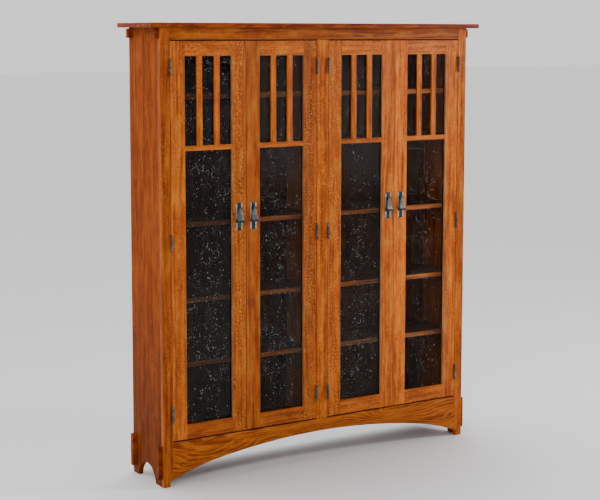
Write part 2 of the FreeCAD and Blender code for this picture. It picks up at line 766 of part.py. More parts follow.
def pull_plate(door, x):
    """The back plate with its bevel, two ears and the pin through them."""
    name = f"door_{door}_plate"
    foot = "sizes.pull_height - sizes.plate_height / 2"
    blank = box(
        f"{name}_blank",
        f"{x} - sizes.plate_width / 2",
        "places.face_y - sizes.plate_thickness",
        foot,
        "sizes.plate_width",
        "sizes.plate_thickness",
        "sizes.plate_height",
    )
    doc.recompute()
    front = edges_at(blank.Shape, "y", places.face_y - sizes.plate_thickness)
    eased = bevel(f"{name}_eased", blank, front, sizes.plate_bevel)
    ears = []
    ear_reach = "(sizes.eye_length / 2 + sizes.ear_clearance)"
    for side, start in (
        ("left", f"{x} - {ear_reach} - sizes.ear_thickness"),
        ("right", f"{x} + {ear_reach}"),
    ):
        ears.append(
            box(
                f"{name}_ear_{side}",
                start,
                "places.pivot_y",
                "places.pivot_z - sizes.ear_radius",
                "sizes.ear_thickness",
                "sizes.pivot_standout - sizes.plate_thickness",
                "2 * sizes.ear_radius",
            )
        )
        ears.append(
            rod(
                f"{name}_nose_{side}",
                ALONG_X,
                start,
                "places.pivot_y",
                "places.pivot_z",
                "sizes.ear_radius",
                "sizes.ear_thickness",
            )
        )
    pin = rod(
        f"{name}_pin",
        ALONG_X,
        f"{x} - {ear_reach} - sizes.ear_thickness",
        "places.pivot_y",
        "places.pivot_z",
        "sizes.pull_pin_radius",
        f"2 * {ear_reach} + 2 * sizes.ear_thickness",
    )
    body = cut(f"{name}_body", fuse(f"{name}_eared", [eased, *ears]), (pin,))
    return group(name, (body, pin))


def pull_drop(door, x):
    """The drop: an eye on the pin, a blade that widens downwards and a flared lip."""
    name = f"door_{door}_drop"
    lip_foot = "places.pivot_z - sizes.drop_length"
    flare_foot = f"{lip_foot} + sizes.lip_edge_height"
    blade_foot = f"{flare_foot} + sizes.lip_flare_height"
    blade_height = "sizes.drop_length - sizes.lip_edge_height - sizes.lip_flare_height"
    widths = ("sizes.blade_foot_width", "sizes.blade_head_width")
    standouts = ("sizes.blade_foot_standout", "sizes.blade_head_standout")
    blade = wedge(f"{name}_blade", x, blade_foot, blade_height, widths, standouts)
    widths = ("sizes.lip_width", "sizes.blade_foot_width")
    standouts = ("sizes.lip_standout", "sizes.blade_foot_standout")
    flare = wedge(f"{name}_flare", x, flare_foot, "sizes.lip_flare_height", widths, standouts)
    widths = ("sizes.lip_width", "sizes.lip_width")
    standouts = ("sizes.lip_standout", "sizes.lip_standout")
    lip = wedge(f"{name}_lip", x, lip_foot, "sizes.lip_edge_height", widths, standouts)
    pivot = (ALONG_X, f"{x} - sizes.eye_length / 2", "places.pivot_y", "places.pivot_z")
    bore_radius = "sizes.pull_pin_radius + sizes.pull_pin_clearance"
    eye = rod(f"{name}_eye", *pivot, "sizes.ear_radius", "sizes.eye_length")
    bore = rod(f"{name}_bore", *pivot, bore_radius, "sizes.eye_length")
    return cut(name, fuse(f"{name}_blank", (blade, flare, lip, eye)), (bore,))


def door_frame(door, left):
    """The stiles and the rails of a door, with tenons in the rails and one rabbet round the light."""
    name = f"door_{door}"
    inner = f"{left} + sizes.door_stile_width"
    rabbet = box(
        f"{name}_rabbet",
        f"{inner} - sizes.glass_rabbet_width",
        "places.glass_y",
        "places.light_foot - sizes.glass_rabbet_width",
        "places.light_width + 2 * sizes.glass_rabbet_width",
        "sizes.glass_rabbet_depth + sizes.overrun",
        "places.light_head - places.light_foot + 2 * sizes.glass_rabbet_width",
    )
    tenons = []
    rails = []
    for where, foot in (("lower", "places.door_foot"), ("upper", "places.light_head")):
        rail = box(
            f"{name}_{where}_rail",
            inner,
            "places.face_y",
            foot,
            "places.light_width",
            "sizes.door_thickness",
            "sizes.door_rail_width",
        )
        tenon = box(
            f"{name}_{where}_tenon",
            f"{inner} - sizes.door_tenon_length",
            "places.door_tenon_y",
            f"{foot} + sizes.door_tenon_shoulder",
            "places.light_width + 2 * sizes.door_tenon_length",
            "sizes.door_tenon_thickness",
            "sizes.door_rail_width - 2 * sizes.door_tenon_shoulder",
        )
        tenons.append(tenon)
        blank = fuse(f"{name}_{where}_rail_blank", (rail, tenon))
        rails.append(cut(f"{name}_{where}_rail_cut", blank, (rabbet,)))
    stiles = []
    for where, start in (("left", left), ("right", f"{inner} + places.light_width")):
        stile = box(
            f"{name}_stile_{where}",
            start,
            "places.face_y",
            "places.door_foot",
            "sizes.door_stile_width",
            "sizes.door_thickness",
            "places.door_height",
        )
        mortised = cut(f"{name}_stile_{where}_mortised", stile, tenons)
        stiles.append(cut(f"{name}_stile_{where}_cut", mortised, (rabbet,)))
    keep(f"{name}_stiles", group(f"{name}_stile_pair", stiles))
    keep(f"{name}_rails", group(f"{name}_rail_pair", rails))


def door_grille(door, inner):
    """The bar across the door and the two mullions above it, with three equal lights between."""
    name = f"door_{door}_grille"
    front = "places.glass_y - sizes.grille_thickness"
    pieces = [
        box(
            f"{name}_bar",
            inner,
            front,
            "places.bar_foot",
            "places.light_width",
            "sizes.grille_thickness",
            "sizes.grille_bar_width",
        )
    ]
    first = f"{inner} + places.small_light_width"
    second = f"{inner} + 2 * places.small_light_width + sizes.mullion_width"
    for number, start in enumerate((first, second), start=1):
        pieces.append(
            box(
                f"{name}_mullion_{number}",
                start,
                front,
                "places.bar_head",
                "sizes.mullion_width",
                "sizes.grille_thickness",
                "places.light_head - places.bar_head",
            )
        )
    keep(name, group(f"{name}_bars", pieces))


def door_glass(door, inner):
    """The pane in its rabbet and the four stops that hold it."""
    name = f"door_{door}"
    pane_margin = "(sizes.glass_rabbet_width - sizes.glass_clearance)"
    pane = box(
        f"{name}_pane",
        f"{inner} - {pane_margin}",
        "places.glass_y",
        f"places.light_foot - {pane_margin}",
        f"places.light_width + 2 * {pane_margin}",
        "sizes.glass_thickness",
        f"places.light_head - places.light_foot + 2 * {pane_margin}",
    )
    keep(f"{name}_glass", pane)
    depth = "sizes.glass_rabbet_depth - sizes.glass_thickness"
    stops = []
    rabbet_foot = "places.light_foot - sizes.glass_rabbet_width"
    for where, start in (
        ("left", f"{inner} - sizes.glass_rabbet_width"),
        ("right", f"{inner} + places.light_width"),
    ):
        stops.append(
            box(
                f"{name}_stop_{where}",
                start,
                "places.glass_back_y",
                rabbet_foot,
                "sizes.glass_rabbet_width",
                depth,
                "places.light_head - places.light_foot + 2 * sizes.glass_rabbet_width",
            )
        )
    for where, foot in (("lower", rabbet_foot), ("upper", "places.light_head")):
        stops.append(
            box(
                f"{name}_stop_{where}",
                inner,
                "places.glass_back_y",
                foot,
                "places.light_width",
                depth,
                "sizes.glass_rabbet_width",
            )
        )
    keep(f"{name}_glass_stops", group(f"{name}_stops", stops))


catches = []
for door in DOORS:
    left = f"places.door_{door}_x"
    inner = f"{left} + sizes.door_stile_width"
    if hinge_side(door) > 0:
        meeting_stile_x = f"{left} + places.door_width - sizes.door_stile_width / 2"
    else:
        meeting_stile_x = f"{left} + sizes.door_stile_width / 2"
    door_frame(door, left)
    door_grille(door, inner)
    door_glass(door, inner)
    door_leaves = Part.makeCompound(at_hinges(door, door_leaf))
    keep(f"door_{door}_hinge_leaves", formed(f"door_{door}_leaves", door_leaves))
    keep(f"door_{door}_pull_plate", pull_plate(door, meeting_stile_x))
    keep(f"door_{door}_pull_drop", pull_drop(door, meeting_stile_x))
    strike = box(
        f"door_{door}_strike_plate",
        f"{meeting_stile_x} - sizes.strike_width / 2",
        "places.door_back_y",
        "places.door_head - sizes.strike_drop - sizes.strike_height",
        "sizes.strike_width",
        "sizes.strike_thickness",
        "sizes.strike_height",
    )
    keep(f"door_{door}_strike", strike)
    catches.append(
        box(
            f"catch_{door}",
            f"{meeting_stile_x} - sizes.catch_width / 2",
            "places.door_back_y + sizes.strike_thickness + sizes.catch_clearance",
            "places.opening_head - sizes.catch_height",
            "sizes.catch_width",
            "sizes.catch_depth",
            "sizes.catch_height",
        )
    )
keep("magnetic_catches", group("catches", catches))

doc.recompute()

for item in doc.Objects:
    if "Invalid" in item.State or "Error" in item.State:
        raise RuntimeError(f"{item.Name} failed: {item.State}")
for item in subparts:
    if item.Shape.isNull() or not item.Shape.isValid() or not item.Shape.Solids:
        raise RuntimeError(f"{item.Label} has no sound solid")

os.makedirs("parts", exist_ok=True)
for item in subparts:
    item.Shape.exportStep(f"parts/{item.Label}.step")
    print(f"{item.Label:24s} {len(item.Shape.Solids):3d} solids {item.Shape.Volume / 1000:12.2f} cm3")
print(len(subparts), "sub-parts")
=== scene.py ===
"""Looks of the oak bookcase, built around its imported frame. Metres, Z is up and -Y is the front."""

import math
import random

import bmesh
import bpy
from mathutils import Matrix, Vector
from mathutils.bvhtree import BVHTree


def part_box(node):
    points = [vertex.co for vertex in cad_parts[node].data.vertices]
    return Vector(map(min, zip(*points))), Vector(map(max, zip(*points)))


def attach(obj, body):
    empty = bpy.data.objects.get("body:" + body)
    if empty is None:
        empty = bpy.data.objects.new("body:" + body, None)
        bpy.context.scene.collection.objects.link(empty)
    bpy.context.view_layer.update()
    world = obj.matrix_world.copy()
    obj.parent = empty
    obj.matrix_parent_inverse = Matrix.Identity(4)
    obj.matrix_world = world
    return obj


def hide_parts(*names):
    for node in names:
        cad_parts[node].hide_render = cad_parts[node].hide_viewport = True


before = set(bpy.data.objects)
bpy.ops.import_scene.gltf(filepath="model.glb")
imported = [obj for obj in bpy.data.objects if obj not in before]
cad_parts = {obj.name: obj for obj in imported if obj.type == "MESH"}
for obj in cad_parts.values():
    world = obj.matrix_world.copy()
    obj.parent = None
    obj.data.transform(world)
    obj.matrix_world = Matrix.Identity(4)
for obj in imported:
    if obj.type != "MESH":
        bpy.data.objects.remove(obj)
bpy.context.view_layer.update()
random.seed(1908)


# Face frame
# Two outer stiles that run down to the floor, a centre stile, a top rail and an apron sawn to one long arch:
# 20 mm quartersawn white oak, stub tenoned, sanded flush, stained warm brown and lacquered to a satin sheen.

WELD = 0.00001
FLAT = math.radians(0.3)
CORNER = math.radians(30)
SHORTEST_ARRIS = 0.005
ARRIS = 0.0013
PROBE = 0.0003
PLANK_SPREAD = 40
RIM = 0.0014
# Heights over which the painted shade low on the sides fades out.
FOOT_SHADE_FADE = (0.15, 0.80)


def loose_boards(mesh):
    """The separate boards of a mesh, each as a list of its vertices."""
    boards, seen = [], set()
    for start in mesh.verts:
        if start in seen:
            continue
        board, waiting = [], [start]
        seen.add(start)
        while waiting:
            vertex = waiting.pop()
            board.append(vertex)
            for edge in vertex.link_edges:
                other = edge.other_vert(vertex)
                if other not in seen:
                    seen.add(other)
                    waiting.append(other)
        boards.append(board)
    return boards


def sawn(node):
    """A CAD node's boards in one welded mesh, without the edges that only split a flat face."""
    mesh = bmesh.new()
    mesh.from_mesh(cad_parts[node].data)
    bmesh.ops.remove_doubles(mesh, verts=mesh.verts, dist=WELD)
    bmesh.ops.dissolve_limit(mesh, angle_limit=FLAT, verts=mesh.verts, edges=mesh.edges)
    mesh.normal_update()
    return mesh


def reach_of(board):
    """The lowest and highest corner of a list of vertices."""
    low = Vector(min(vertex.co[axis] for vertex in board) for axis in range(3))
    high = Vector(max(vertex.co[axis] for vertex in board) for axis in range(3))
    return low, high


def neighbours_of(nodes):
    """What each board of these nodes covers: its corners, and its surface to test points against."""
    found = []
    for node in nodes:
        mesh = sawn(node)
        for board in loose_boards(mesh):
            number = {vertex: i for i, vertex in enumerate(board)}
            faces = {face for vertex in board for face in vertex.link_faces}
            faces = sorted(faces, key=lambda face: face.index)
            rings = [[number[vertex] for vertex in face.verts] for face in faces]
            surface = BVHTree.FromPolygons([vertex.co for vertex in board], rings)
            found.append((*reach_of(board), surface))
        mesh.free()
    return found


def touches(low, high, other_low, other_high, slack):
    return all(
        low[axis] - slack <= other_high[axis] and other_low[axis] - slack <= high[axis]
        for axis in range(3)
    )


def is_inside(point, surface):
    place, normal, _, _ = surface.find_nearest(point)
    return (point - place).dot(normal) < 0


def stop_arrises(mesh, neighbours):
    """Cuts each board where a neighbour begins or ends, so that an arris can stop there."""
    for board in loose_boards(mesh):
        low, high = reach_of(board)
        cuts = set()
        for other_low, other_high, _ in neighbours:
            if not touches(low, high, other_low, other_high, PROBE):
                continue
            for axis in range(3):
                for value in (other_low[axis], other_high[axis]):
                    if low[axis] + PROBE < value < high[axis] - PROBE:
                        cuts.add((axis, round(value, 5)))
        for axis, value in sorted(cuts):
            place = Vector((0, 0, 0))
            place[axis] = value
            direction = Vector((0, 0, 0))
            direction[axis] = 1
            edges = {edge for vertex in board for edge in vertex.link_edges}
            faces = {face for vertex in board for face in vertex.link_faces}
            made = bmesh.ops.bisect_plane(
                mesh,
                geom=[*board, *sorted(edges, key=index_of), *sorted(faces, key=index_of)],
                dist=WELD,
                plane_co=place,
                plane_no=direction,
            )
            board += [item for item in made["geom_cut"] if isinstance(item, bmesh.types.BMVert)]
            board = list(dict.fromkeys(board))


def index_of(item):
    return item.index


def mark_arrises(mesh, neighbours, shortest=SHORTEST_ARRIS):
    """Marks the corners that stay free on the finished piece, which the sander rounds.

    The corners that a neighbour covers, and the tagged ones, stay crisp.
    """
    weight = mesh.edges.layers.float.get("bevel_weight_edge")
    weight = weight or mesh.edges.layers.float.new("bevel_weight_edge")
    for face in mesh.faces:
        face.smooth = True
    for edge in mesh.edges:
        if len(edge.link_faces) != 2 or edge.calc_face_angle() < CORNER:
            continue
        edge.smooth = False
        if edge.tag or not edge.is_convex or edge.calc_length() < shortest:
            continue
        middle = (edge.verts[0].co + edge.verts[1].co) / 2
        first, second = (face.normal for face in edge.link_faces)
        probes = (middle + (first - second) * PROBE, middle + (second - first) * PROBE)
        covered = any(
            touches(probe, probe, low, high, 0) and is_inside(probe, surface)
            for low, high, surface in neighbours
            for probe in probes
        )
        if not covered:
            edge.smooth = True
            edge[weight] = 1


def lay_grain(mesh, along=None, looks=()):
    """Gives each board its own timber: places along, across and through the grain, a tone, and its fleck.

    Looks are (tone, fleck) pairs for the boards from left to right; the boards without one get them at random.
    """
    grain = mesh.verts.layers.float_vector.new("grain")
    tone = mesh.verts.layers.float.new("tone")
    fleck = mesh.verts.layers.float.new("fleck")
    boards = sorted(loose_boards(mesh), key=lambda board: tuple(reach_of(board)[0]))
    for i, board in enumerate(boards):
        low, high = reach_of(board)
        size = high - low
        order = sorted(range(3), key=lambda axis: -size[axis])
        if along is not None:
            order.remove(along)
            order.insert(0, along)
        start = Vector(random.uniform(-PLANK_SPREAD, PLANK_SPREAD) for _ in range(3))
        look = (random.uniform(-0.5, 0.5), random.uniform(0.1, 0.7))
        if i < len(looks):
            look = looks[i]
        for vertex in board:
            local = vertex.co - (low + high) / 2
            vertex[grain] = start + Vector(local[axis] for axis in order)
            vertex[tone], vertex[fleck] = look


def piece_from(mesh, name, finishes):
    """Turns a finished mesh into an object of the scene with its finishes."""
    data = bpy.data.meshes.new(name)
    mesh.to_mesh(data)
    mesh.free()
    for finish in finishes:
        data.materials.append(finish)
    piece = bpy.data.objects.new(name, data)
    bpy.context.scene.collection.objects.link(piece)
    return piece


def round_over(piece, width, segments, arris_slot):
    """Rounds the marked corners with a true radius and gives them the paler finish of the arris slot, partly wear
    and partly painted highlight.
    """
    rounding = piece.modifiers.new("arris", "BEVEL")
    rounding.limit_method = "WEIGHT"
    rounding.width = width
    rounding.segments = segments
    rounding.material = arris_slot
    levelling = piece.modifiers.new("flat_faces", "WEIGHTED_NORMAL")
    levelling.weight = 100
    levelling.keep_sharp = True


def paint_rim_shade(mesh, rims):
    """Gives the third finish, painted shade for the dark door gaps, to the faces at each rim.

    A rim is a level, and the way from it into the wood.
    """
    for level, inward in rims:
        edge_of_rim = Vector((0, 0, level + inward * RIM))
        parts = [*mesh.verts, *mesh.edges, *mesh.faces]
        bmesh.ops.bisect_plane(mesh, geom=parts, dist=WELD, plane_co=edge_of_rim, plane_no=Vector((0, 0, 1)))
        for face in mesh.faces:
            if all(abs(vertex.co.z - level) < RIM + WELD for vertex in face.verts):
                face.material_index = 2
                for edge in face.edges:
                    if all(abs(vertex.co.z - level) < WELD for vertex in edge.verts):
                        edge.tag = True


def board_piece(node, body, finishes, neighbours, along=None, arris=ARRIS, looks=(), rims=()):
    """A CAD node made into planed boards with grain, free arrises rounded and joints left flush."""
    mesh = sawn(node)
    stop_arrises(mesh, neighbours)
    paint_rim_shade(mesh, rims)
    mark_arrises(mesh, neighbours)
    lay_grain(mesh, along, looks)
    piece = piece_from(mesh, f"{node}_wood", finishes)
    round_over(piece, arris, 2, 1)
    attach(piece, body)
    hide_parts(node)
    return piece


def stain(red, green, blue):
    """A colour as the eye reads it, 0 to 255, turned into the shader's linear one."""
    return (*((value / 255) ** 2.2 for value in (red, green, blue)), 1)


class Finish:
    """A finish being mixed: each call adds one node and returns what comes out of it."""

    def __init__(self, name, surface):
        self.material = bpy.data.materials.new(name)
        self.material.use_nodes = True
        self.tree = self.material.node_tree
        self.shader = self.tree.nodes["Principled BSDF"]
        for socket, value in surface.items():
            self.feed(self.shader.inputs[socket], value)

    def feed(self, socket, value):
        if isinstance(value, bpy.types.NodeSocket):
            self.tree.links.new(value, socket)
        else:
            socket.default_value = value

    def node(self, kind, inputs=(), **settings):
        made = self.tree.nodes.new(kind)
        for name, value in settings.items():
            setattr(made, name, value)
        for socket, value in dict(inputs).items():
            self.feed(made.inputs[socket], value)
        return made

    def mesh_value(self, name, output):
        return self.node("ShaderNodeAttribute", attribute_name=name).outputs[output]

    def stretched(self, place, scale):
        return self.node("ShaderNodeVectorMath", {0: place, 1: scale}, operation="MULTIPLY").outputs[0]

    def moved(self, place, step):
        return self.node("ShaderNodeVectorMath", {0: place, 1: step}, operation="ADD").outputs[0]

    def noise(self, place, detail=3, roughness=0.5, distortion=0):
        inputs = {
            "Vector": place,
            "Scale": 1,
            "Detail": detail,
            "Roughness": roughness,
            "Distortion": distortion,
        }
        return self.node("ShaderNodeTexNoise", inputs).outputs["Fac"]

    def calc(self, operation, first, second=0):
        return self.node("ShaderNodeMath", {0: first, 1: second}, operation=operation).outputs[0]

    def between(self, value, low, high, out_low=0, out_high=1):
        inputs = {
            "Value": value,
            "From Min": low,
            "From Max": high,
            "To Min": out_low,
            "To Max": out_high,
        }
        return self.node("ShaderNodeMapRange", inputs).outputs[0]

    def tinted(self, under, over, share, mode="MIX"):
        made = self.node("ShaderNodeMix", data_type="RGBA", blend_type=mode)
        for socket, value in ((0, share), (6, under), (7, over)):
            self.feed(made.inputs[socket], value)
        return made.outputs[2]

    def rough_with(self, height, depth):
        made = self.node("ShaderNodeBump", {"Height": height, "Distance": depth, "Strength": 1})
        self.tree.links.new(made.outputs[0], self.shader.inputs["Normal"])

    def coloured(self, colour, roughness):
        self.feed(self.shader.inputs["Base Color"], colour)
        self.feed(self.shader.inputs["Roughness"], roughness)
        return self.material


def oak(name, deep, warm, pale, flecks=1.0, rings=0.0, specular=0.12, rough=0.42, foot=0.0):
    """Stained oak: streaks and pores along the grain, ray flecks across it, rings where it is plain sawn.

    Foot is how much painted shade darkens the colour towards the floor.
    """
    finish = Finish(name, {"Specular IOR Level": specular})
    grain = finish.mesh_value("grain", "Vector")
    tone = finish.mesh_value("tone", "Fac")
    fleck = finish.calc("MULTIPLY", finish.mesh_value("fleck", "Fac"), flecks)
    drift = finish.noise(finish.stretched(grain, (1.6, 9, 9)), detail=2)
    sway = finish.node("ShaderNodeCombineXYZ", {1: finish.calc("MULTIPLY", drift, 0.05)}).outputs[0]
    timber = finish.moved(grain, sway)
    streaks = finish.noise(finish.stretched(timber, (2, 100, 150)), detail=3, roughness=0.6)
    lines = finish.noise(finish.stretched(timber, (9, 430, 700)), detail=3, roughness=0.6)
    clouds = finish.noise(finish.stretched(timber, (9, 34, 50)), detail=3, roughness=0.6)
    pores = finish.noise(finish.stretched(timber, (70, 1700, 1700)), detail=1)
    slant = finish.node(
        "ShaderNodeVectorRotate", {"Vector": timber, "Angle": math.radians(38)}, rotation_type="Z_AXIS"
    ).outputs[0]
    rays = finish.noise(finish.stretched(slant, (250, 95, 400)), detail=2, roughness=0.6, distortion=0.3)
    ray_field = finish.noise(finish.stretched(timber, (7, 30, 40)), detail=2)
    ray_mask = finish.calc("MULTIPLY", finish.between(rays, 0.53, 0.63), finish.between(ray_field, 0.36, 0.52))
    ray_mask = finish.calc("MULTIPLY", ray_mask, fleck)
    dusk = finish.calc("MULTIPLY", finish.between(rays, 0.48, 0.38), finish.between(ray_field, 0.36, 0.52))
    dusk = finish.calc("MULTIPLY", dusk, fleck)
    colour = finish.tinted(stain(*deep), stain(*warm), finish.between(streaks, 0.30, 0.58))
    colour = finish.tinted(colour, stain(*pale), finish.between(clouds, 0.48, 0.70, 0, 0.55))
    colour = finish.tinted(colour, stain(*deep), finish.between(clouds, 0.46, 0.30, 0, 0.55))
    colour = finish.tinted(colour, stain(*pale), finish.calc("MULTIPLY", ray_mask, 0.8))
    colour = finish.tinted(colour, stain(*deep), finish.calc("MULTIPLY", dusk, 0.7))
    if rings:
        across = finish.node("ShaderNodeSeparateXYZ", {0: grain}).outputs[1]
        waves = finish.noise(finish.stretched(grain, (2.6, 9, 9)), detail=1.5, roughness=0.4)
        wander = finish.noise(finish.stretched(grain, (18, 60, 60)), detail=2)
        field = finish.calc("ADD", finish.calc("MULTIPLY", across, 70), finish.calc("MULTIPLY", waves, 14))
        field = finish.calc("ADD", field, finish.calc("MULTIPLY", wander, 0.7))
        growth = finish.calc("FRACT", field)
        early = finish.calc("MULTIPLY", finish.between(growth, 0.55, 0.75), finish.between(growth, 1.0, 0.85))
        colour = finish.tinted(colour, stain(*pale), finish.calc("MULTIPLY", early, rings))
        late = finish.between(growth, 0.30, 0.0)
        colour = finish.tinted(colour, stain(*deep), finish.calc("MULTIPLY", late, 0.5 * rings))
    colour = finish.tinted(colour, stain(*deep), finish.between(lines, 0.54, 0.80, 0, 0.5))
    colour = finish.tinted(colour, stain(38, 14, 2), finish.between(pores, 0.62, 0.72, 0, 0.45))
    shift = finish.between(tone, -1, 1, 0.6, 1.4)
    # Painted shade: the colour darkens towards the floor, for the shadow low on the sides.
    if foot:
        place = finish.node("ShaderNodeTexCoord").outputs["Object"]
        level = finish.node("ShaderNodeSeparateXYZ", {0: place}).outputs[2]
        shift = finish.calc("MULTIPLY", shift, finish.between(level, *FOOT_SHADE_FADE, 1 - foot, 1))
    colour = finish.node("ShaderNodeHueSaturation", {"Value": shift, "Color": colour}).outputs[0]
    gloss = finish.calc("SUBTRACT", finish.between(streaks, 0.3, 0.7, rough + 0.06, rough), ray_mask)
    gloss = finish.calc("MAXIMUM", gloss, rough - 0.08)
    height = finish.calc("SUBTRACT", lines, finish.between(pores, 0.60, 0.72, 0, 0.8))
    finish.rough_with(finish.calc("ADD", height, finish.calc("MULTIPLY", ray_mask, 0.3)), 0.00016)
    return finish.coloured(colour, gloss)


frame_oak = oak("frame_oak", (108, 40, 6), (184, 88, 16), (220, 130, 40))
# Partly real wear and partly painted highlight: a paler, glossier oak for the rounded arrises.
wear_and_highlight_oak = oak("wear_and_highlight_oak", (150, 84, 50), (206, 136, 92), (232, 176, 130), flecks=0.3, specular=0.4, rough=0.3)
# Painted shade: near-black oak for the faces in the door gaps, where shade falls.
gap_shade_oak = oak("gap_shade_oak", (24, 9, 3), (38, 15, 5), (52, 22, 8), flecks=0.0, rough=0.6)
apron_oak = oak("apron_oak", (96, 38, 6), (164, 78, 12), (206, 122, 42), flecks=0.1, rings=0.5)

CASE_BOARDS = [
    "front_stile_left", "front_stile_right", "centre_stile", "top_rail", "arched_apron", "top_slab",
    "bottom_deck", "carcase_top", "side_left", "side_right", "centre_partition", "back_panels",
    "back_rails", "top_cleats", "tenon_blocks",
]
case_neighbours = neighbours_of(CASE_BOARDS)
STILE_LOOKS = {"front_stile_left": (-0.5, 0.4), "front_stile_right": (0.0, 0.4), "centre_stile": (0.2, 0.5)}
for node, look in STILE_LOOKS.items():
    board_piece(node, "case", [frame_oak, wear_and_highlight_oak], case_neighbours, looks=(look,))
# Painted shade: the top rail's under face and the apron's top face go near black at the door gaps.
rail_rims = ((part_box("top_rail")[0].z, 1),)
rail_looks = ((-0.75, 0.3),)
frame_finishes = [frame_oak, wear_and_highlight_oak, gap_shade_oak]
board_piece("top_rail", "case", frame_finishes, case_neighbours, looks=rail_looks, rims=rail_rims)
apron_rims = ((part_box("arched_apron")[1].z, -1),)
apron_finishes = [apron_oak, wear_and_highlight_oak, gap_shade_oak]
apron_looks = ((0, 0.2),)
board_piece(
    "arched_apron", "case", apron_finishes, case_neighbours, looks=apron_looks, rims=apron_rims
)


# Top slab
# One wide board of plain sawn oak, 18 mm thick, that stands out past both sides and the front. Its edges are
# eased by hand, and it is screwed up from the cleats, so nothing shows on top.

slab_oak = oak("slab_oak", (80, 24, 2), (128, 48, 6), (170, 82, 20), flecks=0.1, rings=0.35)
board_piece("top_slab", "case", [slab_oak, wear_and_highlight_oak], case_neighbours)


# Sides
# Two solid sides glued up from oak planks, with an arch sawn in the foot of each, and the square blocks on
# them that stand for through tenons: end grain, bevelled round the end and darker with stain.

# The sides take painted shade that darkens them towards the floor.
side_oak = oak(
    "side_oak", (100, 38, 4), (152, 68, 8), (180, 94, 20),
    flecks=0.25, rings=0.2, specular=0.05, rough=0.5, foot=0.42,
)
for node in ("side_left", "side_right"):
    board_piece(node, "case", [side_oak, wear_and_highlight_oak], case_neighbours)
block_oak = oak("block_oak", (84, 28, 2), (138, 58, 6), (176, 88, 16), flecks=0.1, specular=0.06)
board_piece("tenon_blocks", "case", [block_oak, block_oak], case_neighbours, along=0)


# Carcase
# The boards that the face frame hides: deck, top, centre partition, a back of two plywood panels in rabbets,
# a rail above and below it, and the cleats under the slab. They are stained darker and left nearly matt.

inner_oak = oak("inner_oak", (50, 24, 10), (92, 48, 20), (120, 68, 30), flecks=0.3, rough=0.55)
lining_oak = oak("lining_oak", (136, 56, 12), (200, 100, 30), (226, 132, 50), flecks=0.2, rings=0.1, rough=0.5)
inner_worn = oak("inner_worn", (70, 38, 18), (112, 64, 34), (142, 90, 52), flecks=0.1, rough=0.5)
for node in ("bottom_deck", "carcase_top", "centre_partition", "back_panels", "back_rails", "top_cleats"):
    along = 2 if node == "back_panels" else None
    finish = lining_oak if node == "centre_partition" else inner_oak
    board_piece(node, "case", [finish, inner_worn], case_neighbours, along)

SCREW_SIDES = 20
BACK_SCREW_RADIUS, BACK_SCREW_HEIGHT, BACK_SCREW_STEP = 0.0036, 0.0013, 0.21
BACK_SCREW_INSET, BACK_SEAM_INSET = 0.02, 0.012
SLOT_SHARE = 0.16


def loft(mesh, rings):
    """A closed skin over rings that have the same number of points, with its two ends filled."""
    layers = [[mesh.verts.new(point) for point in ring] for ring in rings]
    for under, over in zip(layers, layers[1:]):
        for i, point in enumerate(under):
            j = (i + 1) % len(under)
            mesh.faces.new((point, under[j], over[j], over[i]))
    mesh.faces.new(list(reversed(layers[0])))
    mesh.faces.new(layers[-1])


def turned(mesh, place, direction, profile, sides=SCREW_SIDES):
    """A lathe-turned form: distances along the axis and radii, from a place, in a direction."""
    spin = Vector(direction).to_track_quat("Z", "Y").to_matrix()
    rings = []
    for rise, radius in profile:
        ring = []
        for i in range(sides):
            angle = math.tau * i / sides
            point = Vector((radius * math.cos(angle), radius * math.sin(angle), rise))
            ring.append(Vector(place) + spin @ point)
        rings.append(ring)
    loft(mesh, rings)


def slotted_screw(mesh, place, direction, radius, height):
    """A slotted screw head: a shallow disc, and on it the two halves that the slot leaves."""
    turned(mesh, place, direction, ((0, radius), (0.45 * height, radius), (0.5 * height, 0.97 * radius)))
    turn = Matrix.Rotation(random.uniform(0, math.pi), 3, "Z")
    spin = Vector(direction).to_track_quat("Z", "Y").to_matrix() @ turn
    half_slot = SLOT_SHARE * radius
    for side in (1, -1):
        rings = []
        for rise, share in ((0.5 * height, 0.97), (0.85 * height, 0.85), (height, 0.5)):
            reach = share * radius
            end = math.acos(half_slot / reach)
            ring = []
            for i in range(SCREW_SIDES // 2 + 1):
                angle = -end + 2 * end * i / (SCREW_SIDES // 2)
                ring.append(Vector((side * reach * math.cos(angle), side * reach * math.sin(angle), rise)))
            rings.append([Vector(place) + spin @ point for point in ring])
        loft(mesh, rings)


def metal(name, colour, worn, metallic, rough):
    """Forged or rolled metal: cloudy between its colour and a brighter, rubbed one, with fine pits and dents."""
    finish = Finish(name, {"Metallic": metallic})
    place = finish.node("ShaderNodeTexCoord").outputs["Object"]
    clouds = finish.noise(finish.stretched(place, (60, 60, 60)), detail=4, roughness=0.6)
    pits = finish.noise(finish.stretched(place, (900, 900, 900)), detail=3)
    dents = finish.noise(finish.stretched(place, (210, 210, 210)), detail=1)
    shade = finish.tinted(stain(*colour), stain(*worn), finish.between(clouds, 0.45, 0.75))
    finish.rough_with(finish.calc("ADD", finish.calc("MULTIPLY", dents, 2), pits), 0.00025)
    return finish.coloured(shade, finish.between(pits, 0.3, 0.7, rough - 0.08, rough + 0.10))


zinc = metal("zinc_plate", (150, 152, 150), (190, 192, 190), 1.0, 0.35)
back_screws = bmesh.new()
panel_low, panel_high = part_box("back_panels")
columns = (panel_low.x + BACK_SCREW_INSET, -BACK_SEAM_INSET, BACK_SEAM_INSET, panel_high.x - BACK_SCREW_INSET)
screwed_height = panel_high.z - panel_low.z - 2 * BACK_SCREW_INSET
steps = int(screwed_height / BACK_SCREW_STEP)
for x in columns:
    for step in range(steps + 1):
        z = panel_low.z + BACK_SCREW_INSET + step * screwed_height / steps
        slotted_screw(back_screws, (x, panel_high.y, z), (0, 1, 0), BACK_SCREW_RADIUS, BACK_SCREW_HEIGHT)
fixings = piece_from(back_screws, "back_panel_screws", [zinc])
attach(fixings, "case")
